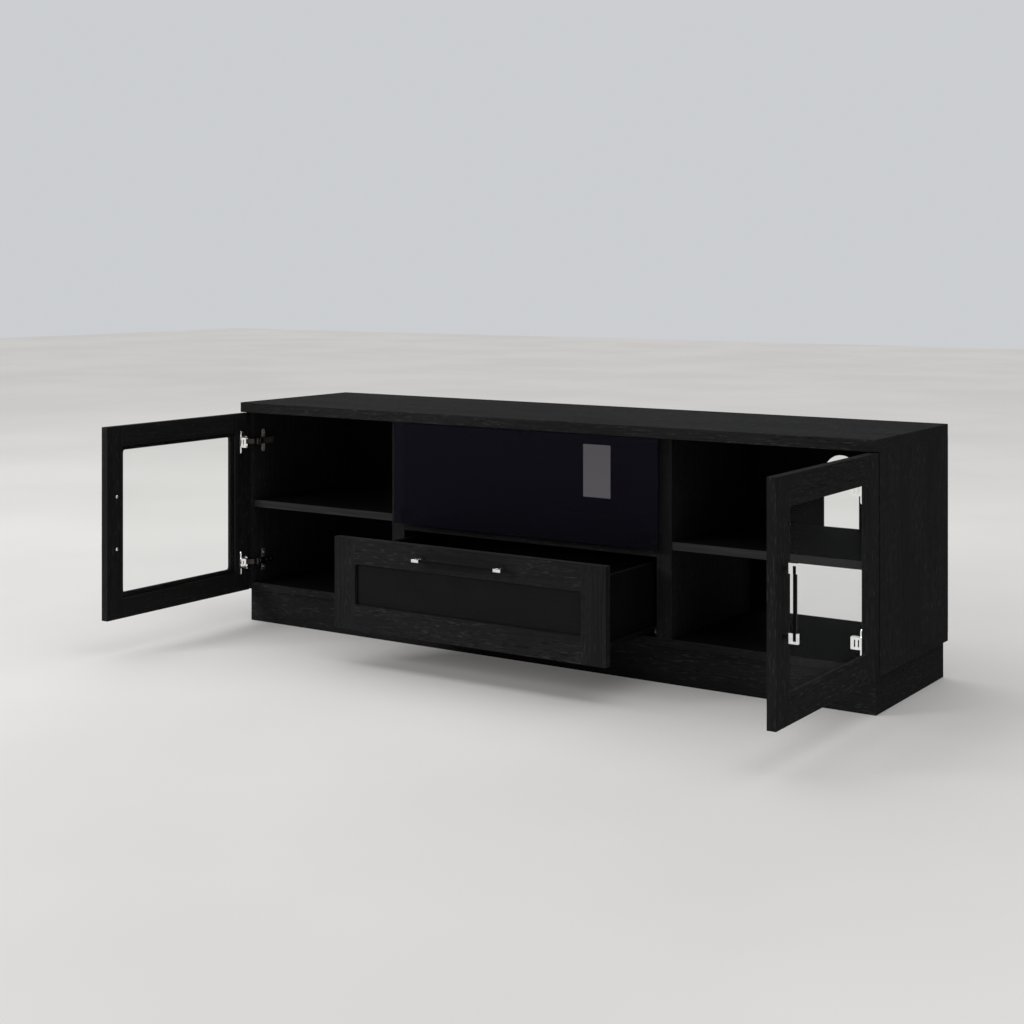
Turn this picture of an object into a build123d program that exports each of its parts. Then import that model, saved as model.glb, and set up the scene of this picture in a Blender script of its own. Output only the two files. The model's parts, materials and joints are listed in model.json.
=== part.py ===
"""Low media cabinet: three bays, two glazed doors, a glazed drawer and a drop-down glass flap.

Millimetres, +Z up, +Y towards the back. The origin is on the floor, half-way across the width
and half-way through the depth. The pieces stand as they are used: both doors swung open, the
drawer pulled out and the flap closed.
"""

import os
from math import atan2, degrees

from build123d import *

# Overall size
WIDTH = 1780.0
DEPTH = 439.0
HEIGHT = 583.0

# Carcass boards
TOP_T = 26.0
SIDE_T = 26.0
DECK_T = 19.0
DIVIDER_T = 38.0
SHELF_T = 19.0
BACK_T = 5.0
CENTRE_BAY_W = 718.0
CENTRE_SHELF_Z = 285.5
SIDE_SHELF_Z = 304.5
SHELF_SIDE_CLEARANCE = 1.0
SHELF_FRONT_SET = 1.5
SHELF_BACK_CLEARANCE = 2.0
BACK_REBATE = 10.0
BACK_CLEARANCE = 0.5
EDGE_BEVEL = 1.0

# Plinth
PLINTH_H = 85.0
PLINTH_T = 19.0
PLINTH_END_INSET = 11.0
PLINTH_FRONT_INSET = 30.0

# Cable cut-outs in the back panels
BAY_SLOT_W = 90.0
BAY_SLOT_TOP_Z = 495.0
BAY_SLOT_H = 327.0
RIGHT_PORT_W = 380.0
RIGHT_PORT_H = 176.0
RIGHT_PORT_R = 5.0
CENTRE_PORT_X = -47.5
CENTRE_PORT_Z = 343.0
CENTRE_PORT_W = 85.0
CENTRE_PORT_H = 138.0

# Shelf pins, on rows of holes
PIN_R = 2.5
PIN_HOLE_CLEARANCE = 0.05
PIN_HOLE_DEPTH = 10.0
PIN_DEPTH = 9.0
PIN_COLLAR_R = 4.0
PIN_COLLAR_T = 1.5
PIN_TONGUE_L = 9.0
PIN_TONGUE_T = 3.0
PIN_DROP = 4.2
PIN_ROW_PITCH = 32.0
PIN_ROWS = 5
PIN_COLUMN_SET = 60.0

# Glazed frames, shared by the doors and the drawer front
FRAME_T = 19.0
STILE_W = 62.0
RAIL_W = 60.0
LIP_D = 8.0
GLASS_REBATE = 16.0
GLASS_T = 4.0
GLASS_CLEARANCE = 1.0
BEAD_W = 6.0
BEAD_T = 5.0
CORNER_R = 6.0
CORNER_TIP = 0.4
FRAME_GAP = 3.0
CENTRE_LAP = 15.5

# Doors
DOOR_LAP = 11.0
DOOR_END_REVEAL = 1.0
DOOR_TOP_GAP = 2.5
DOOR_OPEN_DEG = 90.0
DOOR_AXIS_IN = 6.5
DOOR_AXIS_BACK = 8.5

# Concealed cup hinges
HINGE_END_SET = 75.0
CUP_SET = 22.5
CUP_R = 17.4
CUP_D = 11.3
CUP_WALL = 1.0
CUP_HOLE_CLEARANCE = 0.1
CUP_FLANGE_R = 19.0
CUP_FLANGE_T = 1.2
CUP_WING_H = 62.0
CUP_WING_W = 13.0
CUP_WING_SET = 9.5
CUP_WING_R = 6.0
HINGE_PIN_IN = 11.0
HINGE_PIN_BACK = 5.0
HINGE_PIN_R = 2.0
HINGE_PIN_CLEARANCE = 0.05
LINK_KNEE = (-3.5, -11.7)
LINK_TIP = (-19.3, -23.0)
LINK_W = 3.6
LINK_H = 12.4
ARM_SIDE_CLEARANCE = 0.3
ARM_CHEEK_T = 1.5
ARM_NOSE_R = 3.9
ARM_L = 58.0
ARM_WEB_SET = 17.0
ARM_RISE = 14.0
PLATE_T = 3.0
PLATE_SET = 24.0
PLATE_L = 36.0
PLATE_WING_L = 12.0
PLATE_WING_SET = 6.0
PLATE_WING_H = 60.0
PLATE_WING_BEVEL = 3.0

# Bar handles
BAR_S = 6.5
CAP_W = 7.0
CAP_L = 20.0
CAP_END_T = 5.0
CAP_INNER_T = 11.0
CAP_OUTER_T = 3.5
CAP_OVERHANG = 11.0
POST_R = 4.5
POST_L = 10.0
SCREW_R = 2.0
SCREW_CLEARANCE = 0.1
SCREW_GRIP = 8.0
SCREW_HEAD_R = 4.0
SCREW_HEAD_T = 2.2
DOOR_HANDLE_CC = 128.0
DRAWER_HANDLE_CC = 224.0

# Drawer
DRAWER_H = 217.0
DRAWER_PULL = 231.0
DRAWER_BOX_L = 380.0
DRAWER_BOX_Z = 113.0
DRAWER_BOX_H = 157.0
DRAWER_SIDE_T = 12.0
DRAWER_BOTTOM_T = 6.0
DRAWER_BOTTOM_UP = 5.0

# Roller runners
RUNNER_Z = 106.5
RUNNER_H = 19.2
RUNNER_T = 1.2
RUNNER_PLAY = 2.1
CHANNEL_GAP = 2.3
RUNNER_END = 395.0
RUNNER_CLEARANCE = 0.3
ROLLER_W = 8.0
ROLLER_SET = 1.5
ROLLER_BACK = 16.0
ROLLER_BAY_L = 28.0
ROLLER_PIN_R = 2.0
ROLLER_PIN_CLEARANCE = 0.05
RUNNER_TAIL_L = 40.0
REAR_ROLLER_SET = 20.0
ROLLER_EDGE_R = 0.6

# Glass flap
FLAP_TOP_GAP = 2.0
FLAP_T = 4.0
FLAP_AXIS_BACK = 7.0
FLAP_AXIS_UP = 12.0
FLAP_BARREL_R = 2.5
FLAP_PIN_R = 1.25
FLAP_PIN_CLEARANCE = 0.05
FLAP_PIN_L = 9.5
FLAP_EAR_T = 3.0
FLAP_EAR_L = 30.0
FLAP_EAR_H = 18.0
FLAP_EAR_GAP = 0.5
FLAP_BARREL_L = 9.0
FLAP_LEAF_T = 1.2
FLAP_LEAF_W = 30.0
FLAP_LEAF_H = 34.0
FLAP_LEAF_UP = 2.0

# Touch latch behind the flap's top edge
LATCH_W = 22.0
LATCH_H = 16.0
LATCH_L = 60.0
LATCH_SET = 10.0
PLUNGER_R = 4.0
PLUNGER_L = 58.0
PLUNGER_CLEARANCE = 0.1
PLUNGER_TRAVEL = 4.0
STRIKE_S = 16.0
STRIKE_T = 1.2
STRIKE_GAP = 0.3

# Planes and lines that several pieces share
FRONT = -DEPTH / 2
BACK = DEPTH / 2
CARCASS_FRONT = FRONT + FRAME_T + FRAME_GAP
BACK_FACE = BACK - BACK_T
SIDE_X = WIDTH / 2
SIDE_FACE = SIDE_X - SIDE_T
DIVIDER_FACE = CENTRE_BAY_W / 2
DIVIDER_X = DIVIDER_FACE + DIVIDER_T
DIVIDER_MID = DIVIDER_FACE + DIVIDER_T / 2
CENTRE_FRONT_X = DIVIDER_FACE + CENTRE_LAP
DECK_TOP = PLINTH_H + DECK_T
TOP_Z = HEIGHT - TOP_T
DOOR_EDGE = SIDE_X - DOOR_END_REVEAL
DOOR_AXIS = (-DOOR_EDGE + DOOR_AXIS_IN, FRONT + DOOR_AXIS_BACK)
DOOR_TOP = TOP_Z - DOOR_TOP_GAP
DOOR_MID_Z = (PLINTH_H + DOOR_TOP) / 2
HINGE_Z = (PLINTH_H + HINGE_END_SET, DOOR_TOP - HINGE_END_SET)
HINGE_PIN = (-SIDE_FACE + HINGE_PIN_IN, CARCASS_FRONT + HINGE_PIN_BACK)
BAY_MID = (DIVIDER_X + SIDE_FACE) / 2
PIN_Z = SIDE_SHELF_Z - PIN_DROP
PIN_COLUMNS = (CARCASS_FRONT + PIN_COLUMN_SET, BACK_FACE - PIN_COLUMN_SET)
ROLLER_Z = RUNNER_Z + RUNNER_H / 2
ROLLER_PIN_L = ROLLER_SET + ROLLER_W
DRAWER_BOX_X = DIVIDER_FACE - 2 * RUNNER_T - ROLLER_PIN_L - RUNNER_PLAY
CENTRE_SHELF_TOP = CENTRE_SHELF_Z + SHELF_T
FLAP_TOP = TOP_Z - FLAP_TOP_GAP
FLAP_AXIS = (FRONT + FLAP_AXIS_BACK, CENTRE_SHELF_TOP + FLAP_AXIS_UP)


def board(x0, x1, y0, y1, z0, z1):
    """A square-edged board between two opposite corners."""
    middle = Pos((x0 + x1) / 2, (y0 + y1) / 2, (z0 + z1) / 2)
    return middle * Box(abs(x1 - x0), abs(y1 - y0), abs(z1 - z0))


def rod(start, axis, radius, length):
    """A round rod from its start point along an axis."""
    plane = Plane(origin=start, z_dir=axis)
    return extrude(plane * Circle(radius), length)


def plate_xy(points, z0, z1):
    """A flat plate whose outline lies in plan, between two heights."""
    return Pos(0, 0, z0) * extrude(make_face(Polyline(*points, close=True)), z1 - z0)


def mirrored(solid):
    """The same solid on the other side of the cabinet."""
    return mirror(solid, about=Plane.YZ)


def both_sides(solid):
    """A solid of the left side and its twin on the right."""
    return [solid, mirrored(solid)]


def top_panel():
    """The top board, with eased edges and a rebate along its back lower edge."""
    panel = board(-SIDE_X, SIDE_X, FRONT, BACK, TOP_Z, HEIGHT)
    panel = chamfer(panel.edges().group_by(Axis.Z)[-1], EDGE_BEVEL)
    reach = SIDE_FACE + BACK_REBATE
    return panel - board(-reach, reach, BACK_FACE, BACK, TOP_Z, TOP_Z + BACK_REBATE)


def deck():
    """The bottom board, under the sides, with a rebate along its back upper edge."""
    reach = SIDE_FACE + BACK_REBATE
    panel = board(-SIDE_X, SIDE_X, CARCASS_FRONT, BACK, PLINTH_H, DECK_TOP)
    return panel - board(-reach, reach, BACK_FACE, BACK, DECK_TOP - BACK_REBATE, DECK_TOP)


def pin_holes(face_x, direction):
    """Two columns of shelf-pin holes, sunk into the board behind a face."""
    radius = PIN_R + PIN_HOLE_CLEARANCE
    holes = []
    for y in PIN_COLUMNS:
        for row in range(PIN_ROWS):
            z = PIN_Z + (row - PIN_ROWS // 2) * PIN_ROW_PITCH
            holes.append(rod((face_x, y, z), (direction, 0, 0), radius, PIN_HOLE_DEPTH))
    return holes


def left_side_panel():
    """The left end board, with its back rebate and its shelf-pin holes."""
    panel = board(-SIDE_X, -SIDE_FACE, CARCASS_FRONT, BACK, DECK_TOP, TOP_Z)
    panel -= board(-SIDE_FACE - BACK_REBATE, -SIDE_FACE, BACK_FACE, BACK, DECK_TOP, TOP_Z)
    return panel - pin_holes(-SIDE_FACE, -1)


def left_divider():
    """The upright between the left bay and the centre bay, drilled for shelf pins."""
    panel = board(-DIVIDER_X, -DIVIDER_FACE, CARCASS_FRONT, BACK_FACE, DECK_TOP, TOP_Z)
    return panel - pin_holes(-DIVIDER_X, 1)


def left_shelf():
    """The loose shelf of the left bay."""
    x0 = -SIDE_FACE + SHELF_SIDE_CLEARANCE
    x1 = -DIVIDER_X - SHELF_SIDE_CLEARANCE
    y0 = CARCASS_FRONT + SHELF_FRONT_SET
    y1 = BACK_FACE - SHELF_BACK_CLEARANCE
    return board(x0, x1, y0, y1, SIDE_SHELF_Z, SIDE_SHELF_Z + SHELF_T)


def shelf_pin(face_x, direction, y):
    """A shelf pin: a dowel in its hole, a collar and a tongue under the shelf."""
    dowel = rod((face_x, y, PIN_Z), (-direction, 0, 0), PIN_R, PIN_DEPTH)
    collar = rod((face_x, y, PIN_Z), (direction, 0, 0), PIN_COLLAR_R, PIN_COLLAR_T)
    tip_x = face_x + direction * PIN_TONGUE_L
    x0, x1 = min(face_x, tip_x), max(face_x, tip_x)
    z0 = SIDE_SHELF_Z - PIN_TONGUE_T
    tongue = board(x0, x1, y - PIN_COLLAR_R, y + PIN_COLLAR_R, z0, SIDE_SHELF_Z)
    return dowel + collar + tongue


def shelf_pins():
    """Four pins under each loose shelf."""
    pins = []
    for y in PIN_COLUMNS:
        pins += both_sides(shelf_pin(-SIDE_FACE, 1, y))
        pins += both_sides(shelf_pin(-DIVIDER_X, -1, y))
    return pins


def back_board(x0, x1):
    """A thin back board from the deck's rebate to the top's rebate."""
    z0 = DECK_TOP - BACK_REBATE + BACK_CLEARANCE
    z1 = TOP_Z + BACK_REBATE - BACK_CLEARANCE
    return board(x0, x1, BACK_FACE, BACK, z0, z1)


def port(profile, x, z):
    """A cutter through the back for an outline centred on a point."""
    plane = Plane(origin=(x, BACK, z), x_dir=(1, 0, 0), z_dir=(0, -1, 0))
    return extrude(plane * profile, BACK_T)


def left_back_panel():
    """The left bay's back, with a tall cable slot that is round at both ends."""
    panel = back_board(-SIDE_FACE - BACK_REBATE + BACK_CLEARANCE, -DIVIDER_MID)
    slot = SlotOverall(BAY_SLOT_H, BAY_SLOT_W, rotation=90)
    return panel - port(slot, -BAY_MID, BAY_SLOT_TOP_Z - BAY_SLOT_H / 2)


def right_back_panel():
    """The right bay's back: the same tall slot, running down into a wide port over the deck."""
    wide = RectangleRounded(RIGHT_PORT_W, RIGHT_PORT_H, RIGHT_PORT_R)
    return mirrored(left_back_panel()) - port(wide, BAY_MID, DECK_TOP + RIGHT_PORT_H / 2)


def centre_back_panel():
    """The centre bay's back, with one square-cornered cable port."""
    panel = back_board(-DIVIDER_MID, DIVIDER_MID)
    mouth = Rectangle(CENTRE_PORT_W, CENTRE_PORT_H)
    return panel - port(mouth, CENTRE_PORT_X, CENTRE_PORT_Z + CENTRE_PORT_H / 2)


def plinth_front():
    """The plinth's front board, mitred at both ends."""
    x = SIDE_X - PLINTH_END_INSET
    y0 = FRONT + PLINTH_FRONT_INSET
    y1 = y0 + PLINTH_T
    outline = [(-x, y0), (x, y0), (x - PLINTH_T, y1), (-x + PLINTH_T, y1)]
    return plate_xy(outline, 0, PLINTH_H)


def plinth_back():
    """The plinth's back board, mitred at both ends."""
    x = SIDE_X - PLINTH_END_INSET
    y0 = BACK - PLINTH_T
    outline = [(-x + PLINTH_T, y0), (x - PLINTH_T, y0), (x, BACK), (-x, BACK)]
    return plate_xy(outline, 0, PLINTH_H)


def plinth_end():
    """The plinth's left end board, mitred at both ends."""
    x0 = -SIDE_X + PLINTH_END_INSET
    x1 = x0 + PLINTH_T
    y0 = FRONT + PLINTH_FRONT_INSET
    outline = [(x0, y0), (x1, y0 + PLINTH_T), (x1, BACK - PLINTH_T), (x0, BACK)]
    return plate_xy(outline, 0, PLINTH_H)


def plinth_braces():
    """Cross-boards from the plinth's front to its back, on the middle and under each divider."""
    y0 = FRONT + PLINTH_FRONT_INSET + PLINTH_T
    y1 = BACK - PLINTH_T
    braces = []
    for x in (-DIVIDER_MID, 0, DIVIDER_MID):
        braces.append(board(x - PLINTH_T / 2, x + PLINTH_T / 2, y0, y1, 0, PLINTH_H))
    return braces


def frame_rail(x0, x1, y, z_edge, up):
    """A rail between two stiles; `up` is +1 where the window lies above its inner edge."""
    z_far = z_edge - up * RAIL_W
    reach = x1 - x0
    half = reach / 2
    inner = half - CORNER_TIP
    outline = Polyline(
        (-half, CORNER_R),
        (-half, -RAIL_W),
        (half, -RAIL_W),
        (half, CORNER_R),
        (inner, CORNER_R),
    )
    bow = RadiusArc((inner, CORNER_R), (inner - CORNER_R, 0), CORNER_R)
    edge = Line((inner - CORNER_R, 0), (CORNER_R - inner, 0))
    bow_back = RadiusArc((CORNER_R - inner, 0), (-inner, CORNER_R), CORNER_R)
    close = Line((-inner, CORNER_R), (-half, CORNER_R))
    profile = make_face([outline, bow, edge, bow_back, close])
    plane = Plane(
        origin=((x0 + x1) / 2, y, z_edge),
        x_dir=(up, 0, 0),
        z_dir=(0, -1, 0),
    )
    lip = extrude(plane * profile, -LIP_D)
    z_step = z_edge - up * GLASS_REBATE
    z0, z1 = min(z_far, z_step), max(z_far, z_step)
    return lip + board(x0, x1, y + LIP_D, y + FRAME_T, z0, z1)


def glazed_frame(x0, x1, y, z0, z1):
    """Stiles, rails, glass and glazing beads of a frame whose outer face is at y."""
    window = (x0 + STILE_W, x1 - STILE_W, z0 + RAIL_W, z1 - RAIL_W)
    pocket = (
        window[0] - GLASS_REBATE,
        window[1] + GLASS_REBATE,
        window[2] - GLASS_REBATE,
        window[3] + GLASS_REBATE,
    )
    rebate = board(pocket[0], pocket[1], y + LIP_D, y + FRAME_T, pocket[2], pocket[3])
    stiles = [
        board(x0, window[0], y, y + FRAME_T, z0, z1) - rebate,
        board(window[1], x1, y, y + FRAME_T, z0, z1) - rebate,
    ]
    rails = [
        frame_rail(window[0], window[1], y, window[2], 1),
        frame_rail(window[0], window[1], y, window[3], -1),
    ]
    y_glass = y + LIP_D
    glass = board(
        pocket[0] + GLASS_CLEARANCE,
        pocket[1] - GLASS_CLEARANCE,
        y_glass,
        y_glass + GLASS_T,
        pocket[2] + GLASS_CLEARANCE,
        pocket[3] - GLASS_CLEARANCE,
    )
    y_bead = y_glass + GLASS_T
    y_end = y_bead + BEAD_T
    z_low, z_high = pocket[2] + BEAD_W, pocket[3] - BEAD_W
    beads = [
        board(pocket[0], pocket[1], y_bead, y_end, pocket[2], z_low),
        board(pocket[0], pocket[1], y_bead, y_end, z_high, pocket[3]),
        board(pocket[0], pocket[0] + BEAD_W, y_bead, y_end, z_low, z_high),
        board(pocket[1] - BEAD_W, pocket[1], y_bead, y_end, z_low, z_high),
    ]
    return stiles, rails, glass, beads


def handle_ends(spacing):
    """The two screw places along an upright handle, with the way to its nearer end."""
    return [(-spacing / 2, -1), (spacing / 2, 1)]


def handle_pieces(spacing):
    """An upright bar handle on a face at y = 0: bar, end caps, posts and screws."""
    y_cap = -POST_L
    y_bar = y_cap - CAP_INNER_T
    y_tip = y_bar - BAR_S - CAP_OUTER_T
    half = spacing / 2 + CAP_OVERHANG - CAP_END_T
    bar = board(-BAR_S / 2, BAR_S / 2, y_bar - BAR_S, y_bar, -half, half)
    caps, posts, screws = [], [], []
    for z, way in handle_ends(spacing):
        z_end = z + way * CAP_OVERHANG
        z_mouth = z_end - way * CAP_L
        z0, z1 = min(z_end, z_mouth), max(z_end, z_mouth)
        bore = rod((0, FRAME_T, z), (0, -1, 0), SCREW_R + SCREW_CLEARANCE, FRAME_T + POST_L + SCREW_GRIP)
        cap = board(-CAP_W / 2, CAP_W / 2, y_tip, y_cap, z0, z1)
        slot = board(-CAP_W / 2, CAP_W / 2, y_bar - BAR_S, y_bar, -half, half)
        caps.append(cap - slot - bore)
        posts.append(rod((0, 0, z), (0, -1, 0), POST_R, POST_L) - bore)
        shank = rod((0, FRAME_T, z), (0, -1, 0), SCREW_R, FRAME_T + POST_L + SCREW_GRIP)
        head = rod((0, FRAME_T, z), (0, 1, 0), SCREW_HEAD_R, SCREW_HEAD_T)
        screws.append(shank + fillet(head.edges().group_by(Axis.Y)[-1], SCREW_HEAD_T / 2))
    return bar, caps, posts, screws


def screw_holes(spacing):
    """Clearance holes for a handle's screws through a frame at y = 0."""
    holes = []
    for z, _ in handle_ends(spacing):
        holes.append(rod((0, 0, z), (0, 1, 0), SCREW_R + SCREW_CLEARANCE, FRAME_T))
    return holes


def hinge_cup(z):
    """A hinge cup let into the closed left door, with its screw flange on the inner face."""
    x = -DOOR_EDGE + CUP_SET
    y = FRONT + FRAME_T
    flange_plane = Plane(origin=(x, y, z), x_dir=(1, 0, 0), z_dir=(0, 1, 0))
    wings = Pos(CUP_WING_SET, 0) * RectangleRounded(CUP_WING_W, CUP_WING_H, CUP_WING_R)
    flange = extrude(flange_plane * (Circle(CUP_FLANGE_R) + wings), CUP_FLANGE_T)
    pot = rod((x, y, z), (0, -1, 0), CUP_R, CUP_D)
    hollow = rod((x, y + CUP_FLANGE_T, z), (0, -1, 0), CUP_R - CUP_WALL, CUP_D + CUP_FLANGE_T - CUP_WALL)
    return flange + pot - hollow


def cup_hole(z):
    """The blind hole that a hinge cup sits in."""
    start = (-DOOR_EDGE + CUP_SET, FRONT + FRAME_T, z)
    return rod(start, (0, -1, 0), CUP_R + CUP_HOLE_CLEARANCE, CUP_D + CUP_HOLE_CLEARANCE)


def strap(start, end):
    """The outline of a hinge link's straight leg, round at both ends."""
    leg = Vector(*end) - Vector(*start)
    turn = degrees(atan2(leg.Y, leg.X))
    middle = (Vector(*start) + Vector(*end)) / 2
    return Pos(middle) * Rot(0, 0, turn) * SlotCenterToCenter(leg.length, LINK_W)


def hinge_link(z):
    """The cranked link from a hinge arm's pin into the cup, as it lies with the door open."""
    profile = Circle(ARM_NOSE_R) + strap((0, 0), LINK_KNEE) + strap(LINK_KNEE, LINK_TIP)
    profile -= Circle(HINGE_PIN_R + HINGE_PIN_CLEARANCE)
    return Pos(*HINGE_PIN, z - LINK_H / 2) * extrude(profile, LINK_H)


def hinge_arm(z):
    """A hinge arm: two cheeks and a web from the mounting plate, with the link's pin."""
    x_foot = -SIDE_FACE + PLATE_T
    x_web = -SIDE_FACE + ARM_RISE
    y_nose = HINGE_PIN[1]
    y_tail = y_nose + ARM_L
    y_heel = CARCASS_FRONT + PLATE_SET
    half = LINK_H / 2 + ARM_SIDE_CLEARANCE
    nose = Pos(HINGE_PIN[0], y_nose) * Circle(ARM_NOSE_R)
    neck = [
        (HINGE_PIN[0] - ARM_NOSE_R, y_nose),
        (HINGE_PIN[0] + ARM_NOSE_R, y_nose),
        (x_web, y_nose + ARM_WEB_SET),
        (x_web, y_tail),
        (x_foot, y_tail),
        (x_foot, y_heel),
    ]
    cheek = nose + make_face(Polyline(*neck, close=True))
    low = Pos(0, 0, z - half - ARM_CHEEK_T) * extrude(cheek, ARM_CHEEK_T)
    high = Pos(0, 0, z + half) * extrude(cheek, ARM_CHEEK_T)
    web = board(
        x_web - ARM_CHEEK_T,
        x_web,
        y_nose + ARM_WEB_SET,
        y_tail,
        z - half - ARM_CHEEK_T,
        z + half + ARM_CHEEK_T,
    )
    pin = rod((*HINGE_PIN, z - half), (0, 0, 1), HINGE_PIN_R, 2 * half)
    return low + high + web + pin


def hinge_plate(z):
    """A hinge's cross-shaped mounting plate on the left side panel."""
    x0, x1 = -SIDE_FACE, -SIDE_FACE + PLATE_T
    y0 = CARCASS_FRONT + PLATE_SET
    half = LINK_H / 2 + ARM_SIDE_CLEARANCE + ARM_CHEEK_T
    base = board(x0, x1, y0, y0 + PLATE_L, z - half, z + half)
    y_wing = y0 + PLATE_WING_SET
    wings = board(x0, x1, y_wing, y_wing + PLATE_WING_L, z - PLATE_WING_H / 2, z + PLATE_WING_H / 2)
    wings = chamfer(wings.edges().filter_by(Axis.X), PLATE_WING_BEVEL)
    return base + wings


def swing_open(solid):
    """A piece of the closed left door, turned with the door to its open position."""
    return solid.rotate(Axis((*DOOR_AXIS, 0), (0, 0, 1)), -DOOR_OPEN_DEG)


def left_door():
    """Every piece of the left door, by node name, in the open position."""
    x0 = -DOOR_EDGE
    x1 = -DIVIDER_X + DOOR_LAP
    stiles, rails, glass, beads = glazed_frame(x0, x1, FRONT, PLINTH_H, DOOR_TOP)
    place = Pos(x1 - STILE_W / 2, FRONT, DOOR_MID_Z)
    bar, caps, posts, screws = handle_pieces(DOOR_HANDLE_CC)
    hinge_stile = stiles[0] - [cup_hole(z) for z in HINGE_Z]
    free_stile = stiles[1] - [place * hole for hole in screw_holes(DOOR_HANDLE_CC)]
    pieces = {
        "door_stiles": [hinge_stile, free_stile],
        "door_rails": rails,
        "door_glass": [glass],
        "door_beads": beads,
        "hinge_cups": [hinge_cup(z) for z in HINGE_Z],
        "handle_bar": [place * bar],
        "handle_caps": [place * cap for cap in caps],
        "handle_posts": [place * post for post in posts],
        "handle_screws": [place * screw for screw in screws],
    }
    return {name: [swing_open(solid) for solid in group] for name, group in pieces.items()}


def drawer_side():
    """The left side of the drawer box, behind the drawer front."""
    x0 = -DRAWER_BOX_X
    y0 = FRONT + FRAME_T
    z1 = DRAWER_BOX_Z + DRAWER_BOX_H
    return board(x0, x0 + DRAWER_SIDE_T, y0, y0 + DRAWER_BOX_L, DRAWER_BOX_Z, z1)


def drawer_back():
    """The back of the drawer box, between its sides."""
    x = DRAWER_BOX_X - DRAWER_SIDE_T
    y1 = FRONT + FRAME_T + DRAWER_BOX_L
    z0 = DRAWER_BOX_Z + DRAWER_BOTTOM_UP + DRAWER_BOTTOM_T
    return board(-x, x, y1 - DRAWER_SIDE_T, y1, z0, DRAWER_BOX_Z + DRAWER_BOX_H)


def drawer_bottom():
    """The drawer's bottom, between the sides and under the back, a little above their lower edges."""
    x = DRAWER_BOX_X - DRAWER_SIDE_T
    y0 = FRONT + FRAME_T
    z0 = DRAWER_BOX_Z + DRAWER_BOTTOM_UP
    return board(-x, x, y0, y0 + DRAWER_BOX_L, z0, z0 + DRAWER_BOTTOM_T)


def cabinet_runner():
    """The left fixed runner: a channel on the divider, with the front roller's pin."""
    x0 = -DIVIDER_FACE
    x1 = -DRAWER_BOX_X - RUNNER_T - CHANNEL_GAP
    y0 = CARCASS_FRONT
    y_bay = y0 + ROLLER_BAY_L
    y_end = FRONT + RUNNER_END
    z1 = RUNNER_Z + RUNNER_H
    web = board(x0, x0 + RUNNER_T, y0, y_end, RUNNER_Z, z1)
    low = board(x0, x1, y_bay, y_end, RUNNER_Z, RUNNER_Z + RUNNER_T)
    high = board(x0, x1, y_bay, y_end, z1 - RUNNER_T, z1)
    pin = rod((x0 + RUNNER_T, y0 + ROLLER_BACK, ROLLER_Z), (1, 0, 0), ROLLER_PIN_R, ROLLER_PIN_L)
    return web + low + high + pin


def roller(x, y, radius):
    """A runner's roller on its pin."""
    outer = rod((x, y, ROLLER_Z), (1, 0, 0), radius, ROLLER_W)
    outer = fillet(outer.edges(), ROLLER_EDGE_R)
    return outer - rod((x, y, ROLLER_Z), (1, 0, 0), ROLLER_PIN_R + ROLLER_PIN_CLEARANCE, ROLLER_W)


def front_roller():
    """The fixed runner's roller, at the mouth of the bay."""
    x = -DIVIDER_FACE + RUNNER_T + ROLLER_SET / 2
    return roller(x, CARCASS_FRONT + ROLLER_BACK, RUNNER_H / 2)


def drawer_runner():
    """The left moving runner: a web on the drawer side, a flange and the rear roller's pin."""
    x1 = -DRAWER_BOX_X
    x0 = x1 - RUNNER_T
    x_edge = -DIVIDER_FACE + RUNNER_T + RUNNER_CLEARANCE
    y0 = FRONT + FRAME_T
    y_end = y0 + DRAWER_BOX_L
    z_flange = RUNNER_Z + RUNNER_H + RUNNER_CLEARANCE
    web = board(x0, x1, y0, y_end, DRAWER_BOX_Z, z_flange + RUNNER_T)
    flange = board(x_edge, x1, y0, y_end, z_flange, z_flange + RUNNER_T)
    z_tail = RUNNER_Z + RUNNER_T
    tail = board(x0, x1, y_end - RUNNER_TAIL_L, y_end, z_tail, z_flange)
    pin = rod((x0, y_end - REAR_ROLLER_SET, ROLLER_Z), (-1, 0, 0), ROLLER_PIN_R, ROLLER_PIN_L)
    return web + flange + tail + pin


def rear_roller():
    """The moving runner's roller, inside the fixed channel."""
    x = -DRAWER_BOX_X - RUNNER_T - ROLLER_SET / 2 - ROLLER_W
    y = FRONT + FRAME_T + DRAWER_BOX_L - REAR_ROLLER_SET
    radius = RUNNER_H / 2 - RUNNER_T - RUNNER_CLEARANCE
    return roller(x, y, radius)


def drawer():
    """Every piece of the drawer, by node name, pulled out."""
    z0 = PLINTH_H
    z1 = z0 + DRAWER_H
    stiles, rails, glass, beads = glazed_frame(-CENTRE_FRONT_X, CENTRE_FRONT_X, FRONT, z0, z1)
    place = Pos(0, FRONT, z1 - RAIL_W / 2) * Rot(0, 90, 0)
    bar, caps, posts, screws = handle_pieces(DRAWER_HANDLE_CC)
    holes = [place * hole for hole in screw_holes(DRAWER_HANDLE_CC)]
    pieces = {
        "drawer_front_stiles": stiles,
        "drawer_front_rails": [rails[0], rails[1] - holes],
        "drawer_front_glass": [glass],
        "drawer_front_beads": beads,
        "drawer_sides": both_sides(drawer_side()),
        "drawer_back": [drawer_back()],
        "drawer_bottom": [drawer_bottom()],
        "drawer_runners": both_sides(drawer_runner()),
        "drawer_rear_rollers": both_sides(rear_roller()),
        "drawer_handle_bar": [place * bar],
        "drawer_handle_caps": [place * cap for cap in caps],
        "drawer_handle_posts": [place * post for post in posts],
        "drawer_handle_screws": [place * screw for screw in screws],
    }
    pull = Pos(0, -DRAWER_PULL, 0)
    return {name: [pull * solid for solid in group] for name, group in pieces.items()}


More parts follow.
